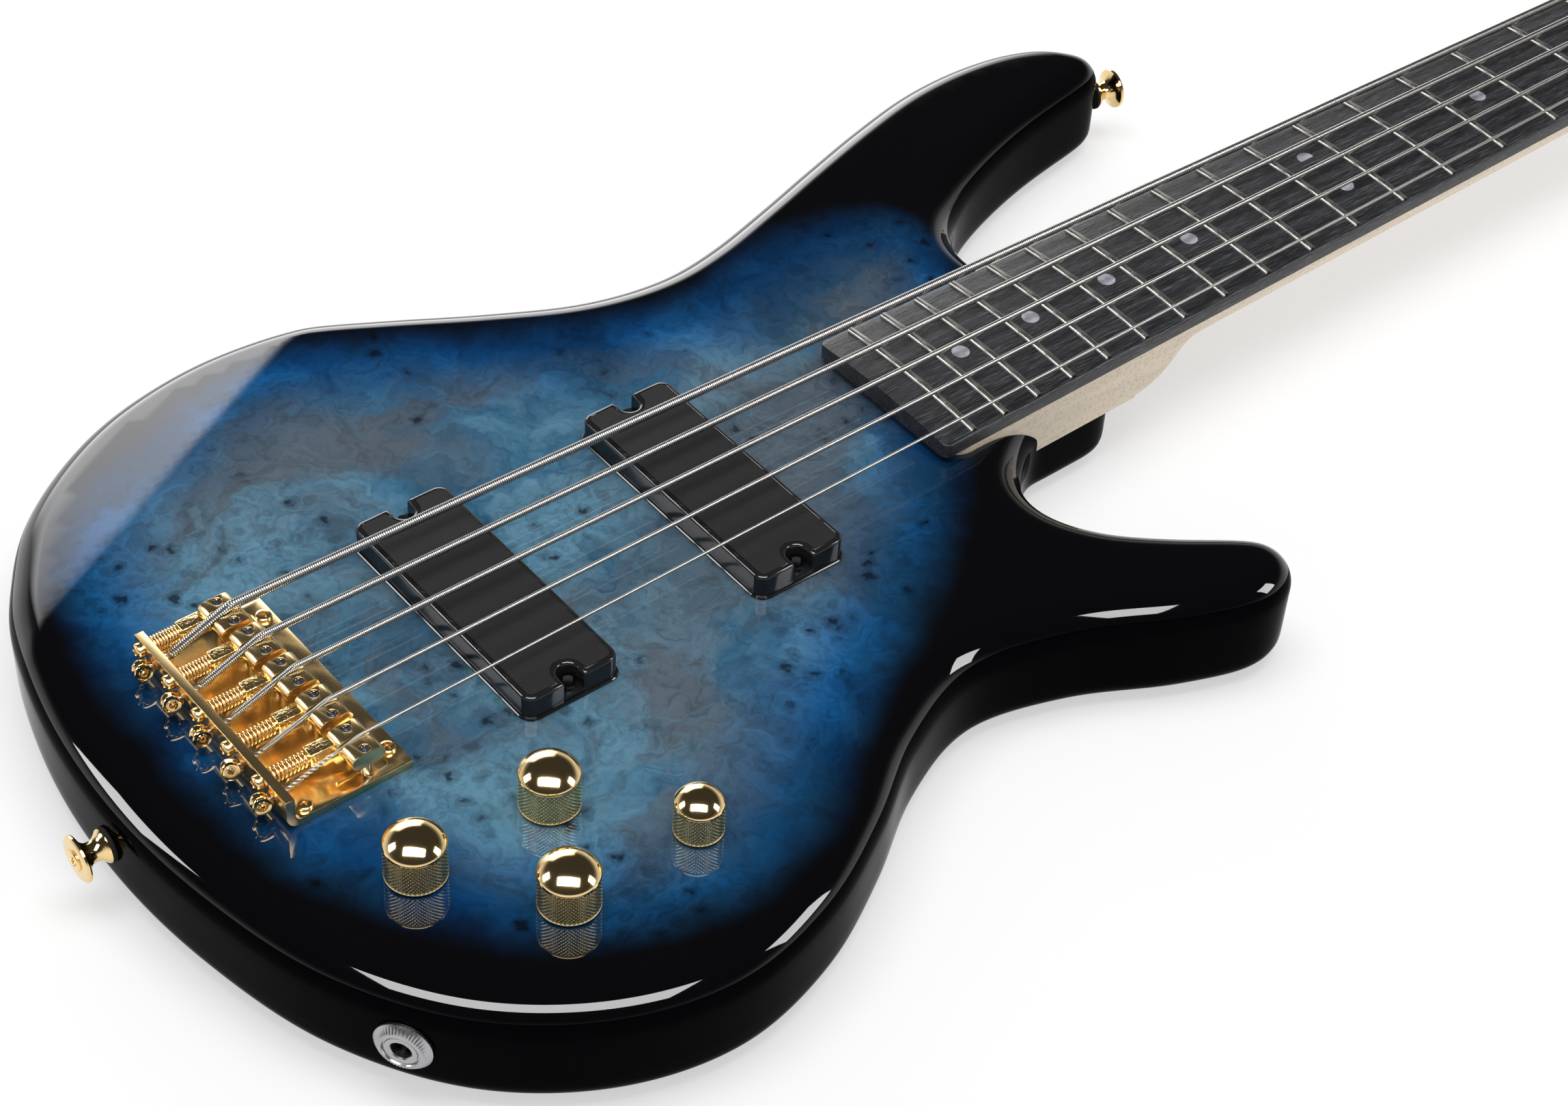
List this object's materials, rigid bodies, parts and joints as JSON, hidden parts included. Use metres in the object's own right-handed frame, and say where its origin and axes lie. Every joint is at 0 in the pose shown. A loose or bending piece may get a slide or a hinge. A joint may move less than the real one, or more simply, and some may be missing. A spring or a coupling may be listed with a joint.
{
  "type": "electric bass guitar",
  "caption": "Solid-body electric bass guitar with a bolt-on fretted neck, angled headstock with geared tuners, metal bridge with sliding saddles, pickups, control knobs and output jack.",
  "frame": {"origin": "on the body's flat back face, below the line on which the scale length ends at the bridge, and on the instrument's centre line", "axes": "+X along the neck to the headstock, +Y to the thickest string's side, +Z out of the top, towards the strings"},
  "size_m": [1.1367, 0.3301, 0.0576],
  "materials": {
    "black_gloss": "polished black lacquer",
    "burl_gloss": "stained burl veneer under polished clear lacquer, blue edge fading to black",
    "maple_satin": "satin clear finish on pale speckled maple",
    "dark_fretboard": "oiled dark grained wood",
    "nickel_silver": "polished fret wire",
    "pearl_dots": "grey-lilac pearl plastic",
    "graphite_nut": "matt black",
    "steel": "plain steel",
    "black_plastic": "satin black moulded plastic",
    "gold_hardware": "polished gold plate",
    "pickup_plastic": "satin black shell with a glossy edge",
    "coil_wire": "taped coil",
    "battery_case": "plain block cell",
    "nickel": "polished nickel ring",
    "felt": "pressed black felt",
    "black_screw_steel": "black oxide",
    "string_steel": "round-wound steel"
  },
  "bodies": {
    "instrument": {"body": "black_gloss", "burl_top": "burl_gloss", "neck": "maple_satin", "headstock_veneer": "black_gloss", "fretboard": "dark_fretboard", "frets": "nickel_silver", "marker_dots": "pearl_dots", "nut": "graphite_nut", "truss_rod": "steel", "truss_rod_cover": "black_plastic", "neck_ferrules": "gold_hardware", "neck_bolts": "gold_hardware", "bridge_plate": "gold_hardware", "bridge_screws": "gold_hardware", "intonation_springs": "gold_hardware", "tuner_housings": "gold_hardware", "tuner_bushings": "gold_hardware", "pickup_covers": "pickup_plastic", "pickup_coils": "coil_wire", "potentiometers": "steel", "control_cover": "black_plastic", "battery": "battery_case", "output_jack": "nickel", "strap_buttons": "gold_hardware", "strap_washers": "felt", "black_screws": "black_screw_steel", "string_b": "string_steel", "string_e": "string_steel", "string_a": "string_steel", "string_d": "string_steel", "string_g": "string_steel"},
    "knob_volume": {"knob_volume": "gold_hardware"},
    "knob_balance": {"knob_balance": "gold_hardware"},
    "knob_treble": {"knob_treble": "gold_hardware"},
    "knob_bass": {"knob_bass": "gold_hardware"},
    "saddle_b": {"saddle_b": "gold_hardware", "height_screws_b": "steel"},
    "intonation_screw_b": {"intonation_screw_b": "gold_hardware"},
    "tuner_key_b": {"tuner_key_b": "gold_hardware"},
    "tuner_post_b": {"tuner_post_b": "gold_hardware"},
    "saddle_e": {"saddle_e": "gold_hardware", "height_screws_e": "steel"},
    "intonation_screw_e": {"intonation_screw_e": "gold_hardware"},
    "tuner_key_e": {"tuner_key_e": "gold_hardware"},
    "tuner_post_e": {"tuner_post_e": "gold_hardware"},
    "saddle_a": {"saddle_a": "gold_hardware", "height_screws_a": "steel"},
    "intonation_screw_a": {"intonation_screw_a": "gold_hardware"},
    "tuner_key_a": {"tuner_key_a": "gold_hardware"},
    "tuner_post_a": {"tuner_post_a": "gold_hardware"},
    "saddle_d": {"saddle_d": "gold_hardware", "height_screws_d": "steel"},
    "intonation_screw_d": {"intonation_screw_d": "gold_hardware"},
    "tuner_key_d": {"tuner_key_d": "gold_hardware"},
    "tuner_post_d": {"tuner_post_d": "gold_hardware"},
    "saddle_g": {"saddle_g": "gold_hardware", "height_screws_g": "steel"},
    "intonation_screw_g": {"intonation_screw_g": "gold_hardware"},
    "tuner_key_g": {"tuner_key_g": "gold_hardware"},
    "tuner_post_g": {"tuner_post_g": "gold_hardware"}
  },
  "joints": [
    {"name": "volume_turn", "type": "hinge", "parent": "instrument", "child": "knob_volume", "pos_m": [0.0348, -0.0788, 0.048], "axis": [0, 0, 1], "range_deg": [-150, 150]},
    {"name": "balance_turn", "type": "hinge", "parent": "instrument", "child": "knob_balance", "pos_m": [-0.012, -0.078, 0.048], "axis": [0, 0, 1], "range_deg": [-150, 150]},
    {"name": "treble_turn", "type": "hinge", "parent": "instrument", "child": "knob_treble", "pos_m": [0.017, -0.1132, 0.048], "axis": [0, 0, 1], "range_deg": [-150, 150]},
    {"name": "bass_turn", "type": "hinge", "parent": "instrument", "child": "knob_bass", "pos_m": [0.064, -0.113, 0.047], "axis": [0, 0, 1], "range_deg": [-150, 150]},
    {"name": "saddle_slide_b", "type": "slide", "parent": "instrument", "child": "saddle_b", "axis": [1, 0, 0], "range_m": [-0.003, 0.003], "deforming": ["string_b", "intonation_springs"]},
    {"name": "intonation_turn_b", "type": "hinge", "parent": "instrument", "child": "intonation_screw_b", "pos_m": [-0.02, 0.0388, 0.048], "axis": [1, 0, 0], "range_deg": [-2161, 2161]},
    {"name": "key_turn_b", "type": "hinge", "parent": "instrument", "child": "tuner_key_b", "pos_m": [0.90297, 0.027, 0.01891], "axis": [0, 1, 0], "continuous": true},
    {"name": "post_turn_b", "type": "hinge", "parent": "instrument", "child": "tuner_post_b", "pos_m": [0.91233, 0.027, 0.03757], "axis": [0.0872, 0, 0.9962], "continuous": true},
    {"name": "saddle_slide_e", "type": "slide", "parent": "instrument", "child": "saddle_e", "axis": [1, 0, 0], "range_m": [-0.003, 0.003], "deforming": ["string_e"]},
    {"name": "intonation_turn_e", "type": "hinge", "parent": "instrument", "child": "intonation_screw_e", "pos_m": [-0.02, 0.022, 0.048], "axis": [1, 0, 0], "range_deg": [-2161, 2161]},
    {"name": "key_turn_e", "type": "hinge", "parent": "instrument", "child": "tuner_key_e", "pos_m": [0.95278, 0.024, 0.01455], "axis": [0, 1, 0], "continuous": true},
    {"name": "post_turn_e", "type": "hinge", "parent": "instrument", "child": "tuner_post_e", "pos_m": [0.96214, 0.024, 0.03321], "axis": [0.0872, 0, 0.9962], "continuous": true},
    {"name": "saddle_slide_a", "type": "slide", "parent": "instrument", "child": "saddle_a", "axis": [1, 0, 0], "range_m": [-0.003, 0.003], "deforming": ["string_a"]},
    {"name": "intonation_turn_a", "type": "hinge", "parent": "instrument", "child": "intonation_screw_a", "pos_m": [-0.02, 0.0052, 0.048], "axis": [1, 0, 0], "range_deg": [-2161, 2161]},
    {"name": "key_turn_a", "type": "hinge", "parent": "instrument", "child": "tuner_key_a", "pos_m": [1.00259, 0.02, 0.01019], "axis": [0, 1, 0], "continuous": true},
    {"name": "post_turn_a", "type": "hinge", "parent": "instrument", "child": "tuner_post_a", "pos_m": [1.01195, 0.02, 0.02885], "axis": [0.0872, 0, 0.9962], "continuous": true},
    {"name": "saddle_slide_d", "type": "slide", "parent": "instrument", "child": "saddle_d", "axis": [1, 0, 0], "range_m": [-0.003, 0.003], "deforming": ["string_d"]},
    {"name": "intonation_turn_d", "type": "hinge", "parent": "instrument", "child": "intonation_screw_d", "pos_m": [-0.02, -0.0116, 0.048], "axis": [1, 0, 0], "range_deg": [-2161, 2161]},
    {"name": "key_turn_d", "type": "hinge", "parent": "instrument", "child": "tuner_key_d", "pos_m": [0.97769, -0.021, 0.01237], "axis": [0, 1, 0], "continuous": true},
    {"name": "post_turn_d", "type": "hinge", "parent": "instrument", "child": "tuner_post_d", "pos_m": [0.98705, -0.021, 0.03103], "axis": [0.0872, 0, 0.9962], "continuous": true},
    {"name": "saddle_slide_g", "type": "slide", "parent": "instrument", "child": "saddle_g", "axis": [1, 0, 0], "range_m": [-0.003, 0.003], "deforming": ["string_g"]},
    {"name": "intonation_turn_g", "type": "hinge", "parent": "instrument", "child": "intonation_screw_g", "pos_m": [-0.02, -0.0284, 0.048], "axis": [1, 0, 0], "range_deg": [-2161, 2161]},
    {"name": "key_turn_g", "type": "hinge", "parent": "instrument", "child": "tuner_key_g", "pos_m": [0.92788, -0.026, 0.01673], "axis": [0, 1, 0], "continuous": true},
    {"name": "post_turn_g", "type": "hinge", "parent": "instrument", "child": "tuner_post_g", "pos_m": [0.93724, -0.026, 0.03539], "axis": [0.0872, 0, 0.9962], "continuous": true}
  ],
  "couplings": [
    {"joint": "intonation_turn_b", "follows": "saddle_slide_b", "rad_per_m": -12566},
    {"joint": "post_turn_b", "follows": "key_turn_b", "ratio": -0.05},
    {"joint": "intonation_turn_e", "follows": "saddle_slide_e", "rad_per_m": -12566},
    {"joint": "post_turn_e", "follows": "key_turn_e", "ratio": -0.05},
    {"joint": "intonation_turn_a", "follows": "saddle_slide_a", "rad_per_m": -12566},
    {"joint": "post_turn_a", "follows": "key_turn_a", "ratio": -0.05},
    {"joint": "intonation_turn_d", "follows": "saddle_slide_d", "rad_per_m": -12566},
    {"joint": "post_turn_d", "follows": "key_turn_d", "ratio": 0.05},
    {"joint": "intonation_turn_g", "follows": "saddle_slide_g", "rad_per_m": -12566},
    {"joint": "post_turn_g", "follows": "key_turn_g", "ratio": 0.05}
  ]
}
